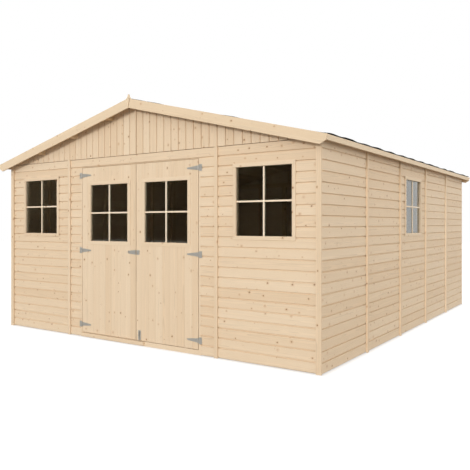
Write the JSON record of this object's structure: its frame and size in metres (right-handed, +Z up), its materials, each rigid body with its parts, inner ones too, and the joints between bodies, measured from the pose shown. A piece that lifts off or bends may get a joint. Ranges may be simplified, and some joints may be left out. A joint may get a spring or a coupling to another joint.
{
  "type": "wooden garden shed",
  "caption": "Timber garden shed of boarded wall panels with a felted saddle roof, a two-leaf boarded door on strap hinges and small cross-barred windows.",
  "frame": {"origin": "on the ground at the middle of the shed's plan", "axes": "+Z up, +Y from the door wall to the back wall along the ridge, +X to the right as seen facing the door"},
  "size_m": [4.224, 5.05, 2.4661],
  "materials": {
    "wall_boards": "planed raw spruce",
    "door_boards": "planed raw spruce",
    "trim_wood": "planed raw spruce",
    "frame_wood": "sawn raw spruce",
    "roofing_felt": "mineral bitumen felt",
    "galvanised_steel": "galvanised",
    "window_glass": "clear"
  },
  "bodies": {
    "root": {"front_right_panel": "wall_boards", "front_left_panel": "wall_boards", "door_strips": "wall_boards", "door_jambs": "trim_wood", "door_header": "wall_boards", "door_header_beam": "frame_wood", "door_sill": "frame_wood", "door_sill_strip": "trim_wood", "hinge_plates": "galvanised_steel", "right_wall_boards": "wall_boards", "left_wall_boards": "wall_boards", "back_wall_boards": "wall_boards", "side_wall_frames": "frame_wood", "end_wall_frames": "frame_wood", "wall_plates": "frame_wood", "joint_battens": "trim_wood", "corner_strips": "trim_wood", "wall_window_frames": "trim_wood", "wall_window_glass": "window_glass", "front_gable_boards": "wall_boards", "back_gable_boards": "wall_boards", "gable_frames": "frame_wood", "ridge_purlin": "frame_wood", "side_purlins": "frame_wood", "right_roof_deck": "frame_wood", "left_roof_deck": "frame_wood", "right_roof_felt": "roofing_felt", "left_roof_felt": "roofing_felt", "ridge_felt": "roofing_felt", "eave_fascias": "trim_wood", "right_bargeboards": "trim_wood", "left_bargeboards": "trim_wood", "finials": "trim_wood"},
    "right_leaf": {"right_door_boards": "door_boards", "right_door_frame": "frame_wood", "right_door_window_frame": "trim_wood", "right_door_window_glass": "window_glass", "right_door_hinge_straps": "galvanised_steel", "hasp_plate": "galvanised_steel", "bolt_holder": "galvanised_steel"},
    "left_leaf": {"left_door_boards": "door_boards", "left_door_frame": "frame_wood", "left_door_window_frame": "trim_wood", "left_door_window_glass": "window_glass", "left_door_hinge_straps": "galvanised_steel", "hasp_flap": "galvanised_steel"},
    "bolt": {"bolt_rod": "galvanised_steel"}
  },
  "joints": [
    {"name": "right_door", "type": "hinge", "parent": "root", "child": "right_leaf", "pos_m": [0.7825, -2.42, 0.92], "axis": [0, 0, 1], "range_deg": [0, 165]},
    {"name": "left_door", "type": "hinge", "parent": "root", "child": "left_leaf", "pos_m": [-0.7825, -2.42, 0.92], "axis": [0, 0, -1], "range_deg": [0, 165]},
    {"name": "bolt_slide", "type": "slide", "parent": "right_leaf", "child": "bolt", "axis": [0, 0, -1], "range_m": [0, 0.02]}
  ]
}
